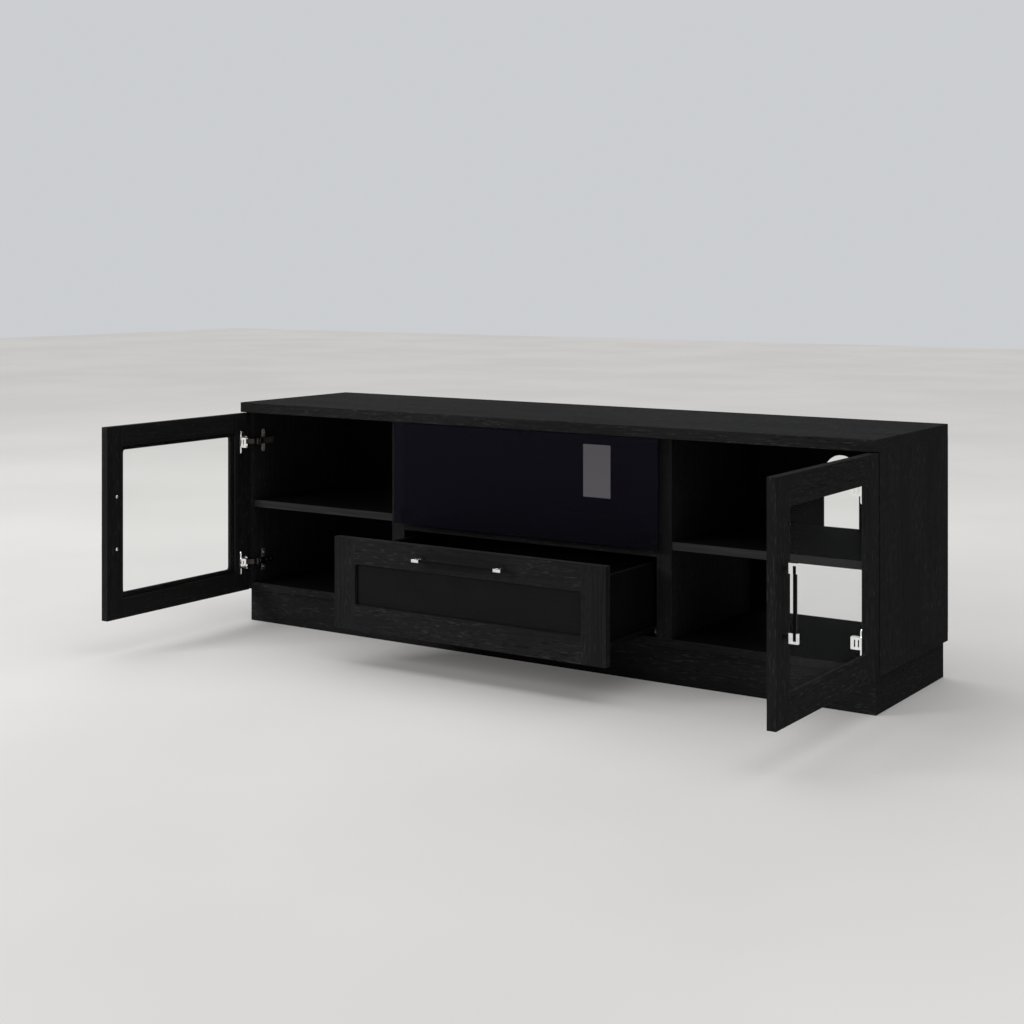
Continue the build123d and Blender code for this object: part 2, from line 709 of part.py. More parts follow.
def flap_bracket():
    """The left fixed half of the flap's hinge: an ear on the divider, with the pin."""
    y, z = FLAP_AXIS
    plane = Plane(origin=(-DIVIDER_FACE, 0, 0), x_dir=(0, 1, 0), z_dir=(1, 0, 0))
    y_back = CARCASS_FRONT + FLAP_EAR_L
    nose = Pos(y, z) * Circle(FLAP_BARREL_R)
    ear = [
        (y - FLAP_BARREL_R, z),
        (y, z - FLAP_BARREL_R),
        (y_back, z),
        (y_back, z + FLAP_EAR_H),
        (y + FLAP_BARREL_R, z + FLAP_EAR_H),
    ]
    profile = nose + make_face(Polyline(*ear, close=True))
    pin_start = (-DIVIDER_FACE + FLAP_EAR_T, y, z)
    return extrude(plane * profile, FLAP_EAR_T) + rod(pin_start, (1, 0, 0), FLAP_PIN_R, FLAP_PIN_L)


def flap_leaf():
    """The left moving half of the flap's hinge: a leaf on the glass, with a barrel."""
    y, z = FLAP_AXIS
    x0 = -DIVIDER_FACE + FLAP_EAR_T + FLAP_EAR_GAP
    y0 = FRONT + FLAP_T
    z0 = CENTRE_SHELF_TOP + FLAP_LEAF_UP
    leaf = board(x0, x0 + FLAP_LEAF_W, y0, y0 + FLAP_LEAF_T, z0, z0 + FLAP_LEAF_H)
    barrel = rod((x0, y, z), (1, 0, 0), FLAP_BARREL_R, FLAP_BARREL_L)
    bore = rod((x0, y, z), (1, 0, 0), FLAP_PIN_R + FLAP_PIN_CLEARANCE, FLAP_BARREL_L)
    return leaf + barrel - bore


def latch_axis():
    """The height of the touch latch's plunger."""
    return TOP_Z - LATCH_H / 2


def latch_housing():
    """The touch latch's housing under the top, bored for its plunger."""
    y0 = CARCASS_FRONT + LATCH_SET
    case = board(-LATCH_W / 2, LATCH_W / 2, y0, y0 + LATCH_L, TOP_Z - LATCH_H, TOP_Z)
    y_tip = FRONT + FLAP_T + STRIKE_T + STRIKE_GAP
    depth = y_tip + PLUNGER_L + PLUNGER_TRAVEL + STRIKE_GAP - y0
    return case - rod((0, y0, latch_axis()), (0, 1, 0), PLUNGER_R + PLUNGER_CLEARANCE, depth)


def latch_plunger():
    """The touch latch's sprung plunger, up to the flap's strike plate."""
    y_tip = FRONT + FLAP_T + STRIKE_T + STRIKE_GAP
    return rod((0, y_tip, latch_axis()), (0, 1, 0), PLUNGER_R, PLUNGER_L)


def flap_strike():
    """The strike plate on the back of the glass, from below the plunger to the glass's top edge."""
    y0 = FRONT + FLAP_T
    half = STRIKE_S / 2
    return board(-half, half, y0, y0 + STRIKE_T, latch_axis() - half, FLAP_TOP)


def flap_glass():
    """The flap's pane, with ground edges."""
    pane = board(-CENTRE_FRONT_X, CENTRE_FRONT_X, FRONT, FRONT + FLAP_T, CENTRE_SHELF_TOP, FLAP_TOP)
    return chamfer(pane.edges().filter_by(Axis.X), EDGE_BEVEL / 2)


def carcass():
    """Every piece of the standing cabinet, by node name."""
    shelf_top = CENTRE_SHELF_TOP
    side = left_side_panel()
    divider = left_divider()
    shelf = left_shelf()
    plates = [hinge_plate(z) for z in HINGE_Z]
    arms = [hinge_arm(z) for z in HINGE_Z]
    return {
        "top_panel": [top_panel()],
        "deck": [deck()],
        "left_side_panel": [side],
        "right_side_panel": [mirrored(side)],
        "left_divider": [divider],
        "right_divider": [mirrored(divider)],
        "centre_shelf": [
            board(-DIVIDER_FACE, DIVIDER_FACE, CARCASS_FRONT, BACK_FACE, CENTRE_SHELF_Z, shelf_top)
        ],
        "left_shelf": [shelf],
        "right_shelf": [mirrored(shelf)],
        "shelf_pins": shelf_pins(),
        "left_back_panel": [left_back_panel()],
        "centre_back_panel": [centre_back_panel()],
        "right_back_panel": [right_back_panel()],
        "plinth_front": [plinth_front()],
        "plinth_back": [plinth_back()],
        "plinth_ends": both_sides(plinth_end()),
        "plinth_braces": plinth_braces(),
        "hinge_plates": plates + [mirrored(plate) for plate in plates],
        "hinge_arms": arms + [mirrored(arm) for arm in arms],
        "cabinet_runners": both_sides(cabinet_runner()),
        "runner_front_rollers": both_sides(front_roller()),
        "flap_hinge_brackets": both_sides(flap_bracket()),
        "touch_latch_housing": [latch_housing()],
        "touch_latch_plunger": [latch_plunger()],
    }


def flap():
    """Every piece of the glass flap, by node name, closed."""
    return {
        "flap_glass": [flap_glass()],
        "flap_hinge_leaves": both_sides(flap_leaf()),
        "flap_strike_plate": [flap_strike()],
    }


def all_nodes():
    """Every node of the cabinet, by name."""
    nodes = carcass() | drawer() | flap()
    links = [hinge_link(z) for z in HINGE_Z]
    nodes["left_hinge_links"] = links
    nodes["right_hinge_links"] = [mirrored(link) for link in links]
    for name, group in left_door().items():
        nodes["left_" + name] = group
        nodes["right_" + name] = [mirrored(solid) for solid in group]
    return nodes


def main():
    """Write one STEP file for each node."""
    os.makedirs("parts", exist_ok=True)
    for name, group in all_nodes().items():
        solids = [solid for shape in group for solid in shape.solids()]
        shape = solids[0] if len(solids) == 1 else Compound(solids)
        export_step(shape, f"parts/{name}.step")


main()
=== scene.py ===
"""Dress the media cabinet: eased boards, finishes, screws, a plain studio and the camera."""

import json
import logging
import math
from dataclasses import dataclass, field
from enum import Enum
from typing import Mapping, Optional, Protocol, Sequence, Union

import bmesh
import bpy
from mathutils import Matrix, Vector


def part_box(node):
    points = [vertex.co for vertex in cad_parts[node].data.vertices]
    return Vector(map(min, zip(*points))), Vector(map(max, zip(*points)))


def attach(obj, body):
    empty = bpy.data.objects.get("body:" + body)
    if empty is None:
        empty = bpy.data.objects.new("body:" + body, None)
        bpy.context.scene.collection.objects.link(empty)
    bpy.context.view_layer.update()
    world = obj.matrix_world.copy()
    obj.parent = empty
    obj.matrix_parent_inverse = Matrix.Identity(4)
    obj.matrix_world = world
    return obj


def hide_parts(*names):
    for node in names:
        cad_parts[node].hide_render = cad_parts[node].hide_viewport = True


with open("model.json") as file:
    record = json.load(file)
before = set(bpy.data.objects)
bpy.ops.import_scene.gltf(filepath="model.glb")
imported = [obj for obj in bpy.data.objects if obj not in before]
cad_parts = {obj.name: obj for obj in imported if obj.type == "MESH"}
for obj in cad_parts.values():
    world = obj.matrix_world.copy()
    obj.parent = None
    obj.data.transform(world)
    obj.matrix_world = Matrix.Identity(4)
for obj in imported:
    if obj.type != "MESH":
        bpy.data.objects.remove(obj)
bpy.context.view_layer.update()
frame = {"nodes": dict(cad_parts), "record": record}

LOG = logging.getLogger("cabinet")
GLASS_GLANCE = 0.04
GRAIN = "grain"
WEAR_AND_HIGHLIGHT = "wear"
# Faces marked for painted shade, where the veneer is darkened to near black.
PAINTED_SHADE = "lining"
# Faces marked for painted light, where the veneer is made paler.
PAINTED_FRONT_LIGHT = "lipping"
FACING_COSINE = 0.9
NOISE_MIDDLE = 0.5
RIGHT_PORT_SPAN = (0.43, 0.83)
HAIR_EASE = 0.0002
FINE_EASE = 0.0003
THIN_EASE = 0.0004
PLATE_EASE = 0.0005
SOFT_EASE = 0.0006
BOARD_EASE = 0.0008
EASED_CORNER = math.radians(30.0)
EASE_STEPS = 2
BOARD_CREASE = 40.0
SCREW_CREASE = 30.0
MERGE_REACH = 1e-6
FLAT_ANGLE = math.radians(0.6)

Colour = tuple[float, float, float]
Point = tuple[float, float, float]
Pair = tuple[float, float]
Spot = tuple[Point, Point]
Form = bmesh.types.BMesh
Piece = bpy.types.Object
Material = bpy.types.Material
Ring = list[bmesh.types.BMVert]
Feed = Union["Wire", float, int, Sequence[float]]

UPWARD: Point = (0.0, 0.0, 1.0)
FORWARD: Point = (0.0, -1.0, 0.0)
BACKWARD: Point = (0.0, 1.0, 0.0)
GRAIN_SHIFT: Point = (0.37, 0.11, 0.17)
MID_RISE: Pair = (0.3, 0.7)


class GrainWay(Enum):
    """The row axis that a board's grain runs along."""

    WIDTH = 0
    DEPTH = 1
    HEIGHT = 2


class Side(Enum):
    """A side of the cabinet, as seen from the front."""

    LEFT = -1
    RIGHT = 1

    @property
    def word(self) -> str:
        """The side's name as the CAD nodes spell it."""
        return self.name.lower()

    @property
    def inward(self) -> Point:
        """The way from this side towards the cabinet's middle."""
        return (-float(self.value), 0.0, 0.0)


class Wire:
    """A shader value that takes part in Python expressions."""

    def __init__(self, shader: "Shader", socket: bpy.types.NodeSocket) -> None:
        """Wrap a node's output socket.

        Args:
            shader: The shader whose tree holds the node.
            socket: The output socket.
        """
        self.shader = shader
        self.socket = socket

    def _math(self, operation: str, left: Feed, right: Feed) -> "Wire":
        """The result of a Math node on two values."""
        return self.shader.node("ShaderNodeMath", {"operation": operation}, {0: left, 1: right})

    def __add__(self, other: Feed) -> "Wire":
        """This value plus another."""
        return self._math("ADD", self, other)

    def __radd__(self, other: Feed) -> "Wire":
        """Another value plus this one."""
        return self._math("ADD", other, self)

    def __sub__(self, other: Feed) -> "Wire":
        """This value less another."""
        return self._math("SUBTRACT", self, other)

    def __rsub__(self, other: Feed) -> "Wire":
        """Another value less this one."""
        return self._math("SUBTRACT", other, self)

    def __mul__(self, other: Feed) -> "Wire":
        """This value times another."""
        return self._math("MULTIPLY", self, other)

    def __rmul__(self, other: Feed) -> "Wire":
        """Another value times this one."""
        return self._math("MULTIPLY", other, self)

    def sway(self, amount: float) -> "Wire":
        """An amount times this value's way from the middle of its range."""
        return amount * (self - NOISE_MIDDLE)

    def step(self, low: float, high: float) -> "Wire":
        """A smooth rise from 0 at low to 1 at high.

        Args:
            low: Where the rise starts.
            high: Where it ends.

        Returns:
            The risen value.
        """
        settings = {"interpolation_type": "SMOOTHSTEP"}
        inputs = {"Value": self, "From Min": low, "From Max": high}
        return self.shader.node("ShaderNodeMapRange", settings, inputs)


class Shader:
    """The node tree of a material or of the world, built from wires."""

    def __init__(self, name: str, world: bool = False) -> None:
        """Start an empty tree.

        Args:
            name: The material's or the world's name.
            world: Whether the tree shades the world.
        """
        self.owner = (bpy.data.worlds if world else bpy.data.materials).new(name)
        self.owner.use_nodes = True
        self.sink = "ShaderNodeOutputWorld" if world else "ShaderNodeOutputMaterial"
        self.tree = self.owner.node_tree
        self.tree.nodes.clear()

    def node(
        self,
        kind: str,
        settings: Optional[Mapping[str, object]] = None,
        inputs: Optional[Mapping[Union[str, int], Feed]] = None,
        output: Union[str, int] = 0,
    ) -> Wire:
        """Add any node.

        Args:
            kind: The node's type.
            settings: Its properties, set before its sockets.
            inputs: A value or a wire for each named or numbered input.
            output: The output to return.

        Returns:
            The chosen output.
        """
        made = self.tree.nodes.new(kind)
        for name, value in (settings or {}).items():
            setattr(made, name, value)
        for key, value in (inputs or {}).items():
            socket = made.inputs[key]
            if isinstance(value, Wire):
                self.tree.links.new(value.socket, socket)
            else:
                socket.default_value = value
        return Wire(self, made.outputs[output])

    def ray(self, kind: str) -> Wire:
        """Whether the light path is of a kind."""
        return self.node("ShaderNodeLightPath", None, None, kind)

    def scaled(self, vector: Wire, scale: Point) -> Wire:
        """A vector times a scale on each axis."""
        return self.node("ShaderNodeVectorMath", {"operation": "MULTIPLY"}, {0: vector, 1: scale})

    def noise(
        self, vector: Wire, scale: Point, detail: float = 2.0, distortion: float = 0.0
    ) -> Wire:
        """Noise stretched over a coordinate.

        Args:
            vector: The coordinate, in metres.
            scale: Cycles per metre on each axis.
            detail: Finer octaves.
            distortion: How much the noise is bent.

        Returns:
            A value around one half.
        """
        inputs = {"Vector": self.scaled(vector, scale), "Scale": 1.0}
        inputs |= {"Detail": detail, "Distortion": distortion}
        return self.node("ShaderNodeTexNoise", None, inputs)

    def mix(self, factor: Feed, first: Feed, second: Feed) -> Wire:
        """A colour between two: a factor of 0 gives the first and 1 the second."""
        settings = {"data_type": "RGBA"}
        return self.node("ShaderNodeMix", settings, {0: factor, 6: first, 7: second}, 2)

    def bump(self, height: Wire, depth: float, strength: float) -> Wire:
        """A normal raised by a height from 0 to 1, with the depth in metres at 1."""
        inputs = {"Height": height, "Distance": depth, "Strength": strength}
        return self.node("ShaderNodeBump", None, inputs)

    def surface(self, shade: Wire) -> Union[Material, bpy.types.World]:
        """Send a shader to the output.

        Args:
            shade: The shader.

        Returns:
            The finished material or world.
        """
        out = self.tree.nodes.new(self.sink)
        self.tree.links.new(shade.socket, out.inputs["Surface"])
        return self.owner

    def principled(self, inputs: Mapping[Union[str, int], Feed]) -> Material:
        """The finished material of a Principled surface with these inputs."""
        return self.surface(self.node("ShaderNodeBsdfPrincipled", None, inputs))


def rgba(colour: Colour) -> tuple[float, float, float, float]:
    """A colour with full opacity."""
    return (*colour, 1.0)


class Finish(Protocol):
    """What a surface is made of."""

    name: str
    slot: str

    def material(self) -> Material:
        """Build the finish's material."""


@dataclass(frozen=True)
class StainedWood:
    """Open-grain veneer under a black stain and a matt lacquer."""

    name: str
    slot: str
    deep: Colour
    pale: Colour
    fleck: Colour
    pore: Colour
    worn: Colour
    lining: Colour
    roughness: float
    shine: float
    relief: float
    drift_scale: Point = (2.2, 9.0, 9.0)
    band_scale: Point = (2.4, 62.0, 62.0)
    fibre_scale: Point = (9.0, 460.0, 460.0)
    streak_scale: Point = (42.0, 250.0, 250.0)
    pit_scale: Point = (48.0, 620.0, 620.0)
    pore_rise: Pair = (0.56, 0.68)
    pore_bands: Pair = (0.36, 0.62)
    fleck_rise: Pair = (0.58, 0.72)
    fleck_drift: Pair = (0.32, 0.6)
    rub_rise: Pair = (0.25, 0.7)
    fleck_share: float = 0.8
    pore_share: float = 0.75
    worn_share: float = 0.8
    lining_share: float = 0.85

    def material(self) -> Material:
        """Build the veneer from bands, fibres and pores, with painted glints, painted highlight on
        worn edges, painted front light and painted shade.
        """
        shader = Shader(self.name)
        grain = shader.node("ShaderNodeAttribute", {"attribute_name": GRAIN}, None, "Vector")
        wear, lipping, lining = (
            shader.node("ShaderNodeAttribute", {"attribute_name": name}, None, "Fac")
            for name in (WEAR_AND_HIGHLIGHT, PAINTED_FRONT_LIGHT, PAINTED_SHADE)
        )
        drift = shader.noise(grain, self.drift_scale)
        band = shader.noise(grain, self.band_scale, detail=3.0, distortion=0.5)
        fibre = shader.noise(grain, self.fibre_scale)
        streak = shader.noise(grain, self.streak_scale, detail=1.0)
        pit = shader.noise(grain, self.pit_scale, detail=1.0)
        pores = pit.step(*self.pore_rise) * band.step(*self.pore_bands)
        # Painted glints: short pale flecks in the colour stand in for gloss catching light on the
        # grain.
        painted_glints = streak.step(*self.fleck_rise) * drift.step(*self.fleck_drift)
        # Worn edges: real wear plus a painted highlight, paler where the rounded edge would catch
        # light.
        rubbed_and_lit = wear * fibre.step(*self.rub_rise)
        tone = (0.3 * band + 0.5 * fibre + 0.2 * drift).step(*MID_RISE)
        stain = shader.mix(tone, rgba(self.deep), rgba(self.pale))
        glinted = shader.mix(self.fleck_share * painted_glints, stain, rgba(self.fleck))
        open_grain = shader.mix(self.pore_share * pores, glinted, rgba(self.pore))
        wood = shader.mix(self.worn_share * rubbed_and_lit, open_grain, rgba(self.worn))
        # Painted light: marked front faces take a paler tone.
        front_light_tone = shader.mix(tone, rgba(self.pale), rgba(self.worn))
        front_lit = shader.mix(lipping, wood, front_light_tone)
        # Painted shade: marked faces are darkened towards a near-black colour.
        colour = shader.mix(self.lining_share * lining, front_lit, rgba(self.lining))
        height = 0.35 * fibre + 0.25 * band - pores
        rough = self.roughness + fibre.sway(0.16) + 0.1 * pores - 0.1 * rubbed_and_lit
        return shader.principled(
            {
                "Base Color": colour,
                "Roughness": rough,
                "Specular IOR Level": self.shine,
                "Normal": shader.bump(height, self.relief, strength=0.5),
            }
        )


@dataclass(frozen=True)
class MattBoard:
    """A thin printed board, matt, with a faint fibre."""

    name: str
    slot: str
    deep: Colour
    pale: Colour
    roughness: float
    shine: float
    relief: float = 0.0002
    mottle_scale: Point = (9.0, 9.0, 9.0)
    fibre_scale: Point = (60.0, 700.0, 700.0)

    def material(self) -> Material:
        """Build the board from mottle and short fibres."""
        shader = Shader(self.name)
        grain = shader.node("ShaderNodeAttribute", {"attribute_name": GRAIN}, None, "Vector")
        mottle = shader.noise(grain, self.mottle_scale, detail=3.0)
        fibre = shader.noise(grain, self.fibre_scale)
        tone = (0.45 * mottle + 0.55 * fibre).step(0.35, 0.65)
        return shader.principled(
            {
                "Base Color": shader.mix(tone, rgba(self.deep), rgba(self.pale)),
                "Roughness": self.roughness + fibre.sway(0.14),
                "Specular IOR Level": self.shine,
                "Normal": shader.bump(fibre, self.relief, strength=0.25),
            }
        )


@dataclass(frozen=True)
class PlatedMetal:
    """Plated metal with polishing lines and a little bloom."""

    name: str
    slot: str
    deep: Colour
    pale: Colour
    roughness: float
    streak: Point = (900.0, 900.0, 60.0)
    relief: float = 0.00004
    bloom_scale: Point = (140.0, 140.0, 140.0)

    def material(self) -> Material:
        """Build the plate from polishing lines and a soft bloom."""
        shader = Shader(self.name)
        place = shader.node("ShaderNodeTexCoord", None, None, "Object")
        lines = shader.noise(place, self.streak)
        bloom = shader.noise(place, self.bloom_scale, detail=3.0)
        tone = (0.6 * bloom + 0.4 * lines).step(*MID_RISE)
        return shader.principled(
            {
                "Base Color": shader.mix(tone, rgba(self.deep), rgba(self.pale)),
                "Metallic": 1.0,
                "Roughness": self.roughness + bloom.sway(0.1) + lines.sway(0.06),
                "Normal": shader.bump(lines, self.relief, strength=0.2),
            }
        )


@dataclass(frozen=True)
class CoatedMetal:
    """Metal or plastic under an even coat with a fine orange-peel texture."""

    name: str
    slot: str
    deep: Colour
    pale: Colour
    roughness: float
    shine: float
    peel: float
    relief: float = 0.00006
    mottle_scale: Point = (55.0, 55.0, 55.0)

    def material(self) -> Material:
        """Build the coat from mottle and orange peel."""
        shader = Shader(self.name)
        place = shader.node("ShaderNodeTexCoord", None, None, "Object")
        peel = shader.noise(place, (self.peel, self.peel, self.peel))
        mottle = shader.noise(place, self.mottle_scale)
        tone = (0.7 * mottle + 0.3 * peel).step(*MID_RISE)
        return shader.principled(
            {
                "Base Color": shader.mix(tone, rgba(self.deep), rgba(self.pale)),
                "Roughness": self.roughness + peel.sway(0.12) + mottle.sway(0.08),
                "Specular IOR Level": self.shine,
                "Normal": shader.bump(peel, self.relief, strength=0.3),
            }
        )


@dataclass(frozen=True)
class PaneGlass:
    """A flat pane that passes light straight through and throws a little of it back."""

    name: str
    slot: str
    tint: Colour
    film: float
    mirror: float
    gleam: Colour = (0.52, 0.53, 0.54)
    metallic: float = 0.0
    haze: float = 0.3
    smear_scale: Point = (14.0, 14.0, 14.0)
    film_least: float = 0.8
    film_swing: float = 0.4
    haze_swing: float = 0.05

    def material(self) -> Material:
        """Build the pane from clear light and a thin film that gleams, with faint wiping marks."""
        shader = Shader(self.name)
        place = shader.node("ShaderNodeTexCoord", None, None, "Object")
        smear = shader.noise(place, self.smear_scale, detail=3.0, distortion=0.6)
        slant = shader.node("ShaderNodeLayerWeight", None, {"Blend": 0.5}, "Facing")
        square = slant * slant
        edge = GLASS_GLANCE + (1.0 - GLASS_GLANCE) * (square * square * slant)
        clear = shader.node("ShaderNodeBsdfTransparent", None, {"Color": rgba(self.tint)})
        glow = shader.node(
            "ShaderNodeBsdfPrincipled",
            None,
            {
                "Base Color": rgba(self.gleam),
                "Metallic": self.metallic,
                "Roughness": self.haze + self.haze_swing * smear,
            },
        )
        share = self.film * (self.film_least + self.film_swing * smear) + edge * self.mirror
        pane = shader.node("ShaderNodeMixShader", None, {0: share, 1: clear, 2: glow})
        return shader.surface(pane)


VENEER = StainedWood(
    name="black_stained_veneer",
    slot="stained_wood",
    deep=(0.0145, 0.0145, 0.0146),
    pale=(0.0265, 0.0265, 0.0265),
    # Below: a paler colour for painted glints, a colour for wear with painted highlight and painted
    # front light, and a near-black colour for painted shade.
    fleck=(0.046, 0.046, 0.0456),
    pore=(0.007, 0.007, 0.007),
    worn=(0.05, 0.0492, 0.048),
    lining=(0.002, 0.002, 0.002),
    roughness=0.7,
    shine=0.003,
    relief=0.00035,
)
BACKING = MattBoard(
    name="black_backing",
    slot="back_board",
    deep=(0.0045, 0.0045, 0.0045),
    pale=(0.0095, 0.0094, 0.0093),
    roughness=0.66,
    shine=0.05,
)
MELAMINE = MattBoard(
    name="black_melamine",
    slot="drawer_board",
    deep=(0.0035, 0.0035, 0.0035),
    pale=(0.0065, 0.0065, 0.0064),
    roughness=0.6,
    shine=0.01,
)
DOOR_PANE = PaneGlass(
    name="door_pane",
    slot="clear_glass",
    tint=(0.97, 0.978, 0.975),
    film=0.0095,
    mirror=0.012,
)
# Painted shade: the clear pane's dark tint darkens the drawer's inside as seen through it.
SHADED_DRAWER_PANE = PaneGlass(
    name="drawer_pane",
    slot="clear_glass",
    tint=(0.1, 0.101, 0.102),
    film=0.025,
    mirror=0.03,
)
SMOKED = PaneGlass(
    name="smoked_pane",
    slot="tinted_glass",
    tint=(0.335, 0.326, 0.344),
    gleam=(0.74, 0.69, 1.0),
    metallic=1.0,
    film=0.0,
    mirror=0.155,
    haze=0.6,
)
BEADING = CoatedMetal(
    name="black_beading",
    slot="black_bead",
    deep=(0.006, 0.006, 0.006),
    pale=(0.011, 0.011, 0.011),
    roughness=0.55,
    shine=0.12,
    peel=900.0,
    relief=0.0001,
)
CHROME = PlatedMetal(
    name="bright_chrome",
    slot="bright_chrome",
    deep=(0.67, 0.68, 0.70),
    pale=(0.80, 0.81, 0.82),
    roughness=0.08,
    streak=(40.0, 1500.0, 1500.0),
    relief=0.00002,
)
NICKEL = PlatedMetal(
    name="bright_nickel",
    slot="nickel_steel",
    deep=(0.85, 0.845, 0.83),
    pale=(0.95, 0.945, 0.93),
    roughness=0.15,
)
ZINC = PlatedMetal(
    name="dull_zinc",
    slot="nickel_steel",
    deep=(0.30, 0.295, 0.285),
    pale=(0.46, 0.455, 0.44),
    roughness=0.36,
)
BURNISHED = PlatedMetal(
    name="burnished_steel",
    slot="nickel_steel",
    deep=(0.034, 0.030, 0.027),
    pale=(0.075, 0.067, 0.061),
    roughness=0.3,
)
BLACK_COAT = CoatedMetal(
    name="black_coat",
    slot="black_metal",
    deep=(0.003, 0.003, 0.0032),
    pale=(0.0055, 0.0055, 0.0058),
    roughness=0.45,
    shine=0.04,
    peel=1600.0,
)
POST_COAT = CoatedMetal(
    name="post_coat",
    slot="black_metal",
    deep=(0.014, 0.014, 0.0142),
    pale=(0.021, 0.021, 0.0212),
    roughness=0.5,
    shine=0.05,
    peel=1600.0,
)
RUNNER_COAT = CoatedMetal(
    name="runner_coat",
    slot="runner_metal",
    deep=(0.0035, 0.0035, 0.0037),
    pale=(0.0065, 0.0065, 0.0068),
    roughness=0.42,
    shine=0.06,
    peel=1400.0,
)
NYLON = CoatedMetal(
    name="grey_nylon",
    slot="roller_plastic",
    deep=(0.075, 0.074, 0.071),
    pale=(0.11, 0.108, 0.104),
    roughness=0.45,
    shine=0.4,
    peel=700.0,
    relief=0.00004,
)
LATCH_BLACK = CoatedMetal(
    name="latch_black",
    slot="latch_plastic",
    deep=(0.006, 0.006, 0.0063),
    pale=(0.011, 0.011, 0.0115),
    roughness=0.5,
    shine=0.2,
    peel=1100.0,
)


class Head(Enum):
    """A screw head's outline, as shares of its radius and height from its seat to its crown."""

    PAN = ((1.0, 0.0), (1.0, 0.3), (0.93, 0.62), (0.82, 0.86), (0.66, 1.0))
    FLAT = ((0.5, 0.0), (0.97, 0.9), (0.9, 1.0))


def join_rings(form: Form, low: Ring, high: Ring) -> None:
    """Join two rings of equal count with faces.

    Args:
        form: The shape that gets the faces.
        low: The first ring.
        high: The second ring.
    """
    for i in range(len(low)):
        j = (i + 1) % len(low)
        form.faces.new((low[i], low[j], high[j], high[i]))


@dataclass(frozen=True)
class Screw:
    """A cross-head screw, drawn from its seat."""

    head: Head
    radius: float
    height: float
    shank_radius: float = 0.0
    shank_length: float = 0.0
    sides: int = 28
    arm: float = 0.54
    arm_half: float = 0.12
    taper: float = 0.6
    sink: float = 0.65

    def ring(self, form: Form, radius: float, height: float) -> Ring:
        """A ring of new points round the screw's axis, at a height over the seat."""
        turns = [2.0 * math.pi * step / self.sides for step in range(self.sides)]
        return [form.verts.new((radius * math.cos(t), radius * math.sin(t), height)) for t in turns]

    def cross(self, form: Form, scale: float, height: float) -> Ring:
        """The driver recess's outline at one depth.

        Args:
            form: The shape that gets the points.
            scale: The outline's size, as a share of the head's radius.
            height: Its height over the seat.

        Returns:
            The points in order.
        """
        a, h = self.arm * scale, self.arm_half * scale
        quarter = [(a, -h), (a, h), (h, h)]
        points = []
        for _ in range(4):
            points += [form.verts.new((x, y, height)) for x, y in quarter]
            quarter = [(-y, x) for x, y in quarter]
        return points

    def draw(self, form: Form, at: Point, axis: Point) -> None:
        """Add the screw to a shape.

        Args:
            form: The shape.
            at: The middle of the head's seat.
            axis: The way that the head faces.
        """
        before = set(form.verts)
        rings = [self.ring(form, r * self.radius, h * self.height) for r, h in self.head.value]
        if self.shank_length:
            neck = self.ring(form, self.shank_radius, 0.0)
            tip = self.ring(form, self.shank_radius, -self.shank_length)
            rings = [tip, neck] + rings
        form.faces.new(list(reversed(rings[0])))
        for low, high in zip(rings, rings[1:]):
            join_rings(form, low, high)
        rim = self.cross(form, self.radius, self.height)
        floor = self.cross(form, self.radius * self.taper, self.height * (1.0 - self.sink))
        join_rings(form, rim, floor)
        form.faces.new(floor)
        sides = [pair for loop in (rings[-1], rim) for pair in zip(loop[-1:] + loop, loop)]
        loops = [form.edges.get(pair) or form.edges.new(pair) for pair in sides]
        bmesh.ops.triangle_fill(form, use_beauty=True, edges=loops, normal=UPWARD)
        fresh = [vertex for vertex in form.verts if vertex not in before]
        turn = Vector(axis).to_track_quat("Z", "Y").to_matrix().to_4x4()
        bmesh.ops.transform(form, matrix=Matrix.Translation(at) @ turn, verts=fresh)


def screw_form(screw: Screw, spots: Sequence[Spot]) -> Form:
    """Several screws as one shape.

    Args:
        screw: Their pattern.
        spots: The seat and the facing of each.

    Returns:
        The shape.
    """
    form = bmesh.new()
    for at, axis in spots:
        screw.draw(form, at, axis)
    bmesh.ops.recalc_face_normals(form, faces=form.faces)
    return form


def add_object(name: str, data: bpy.types.ID) -> Piece:
    """A new object of some data, linked to the scene."""
    item = bpy.data.objects.new(name, data)
    bpy.context.scene.collection.objects.link(item)
    return item


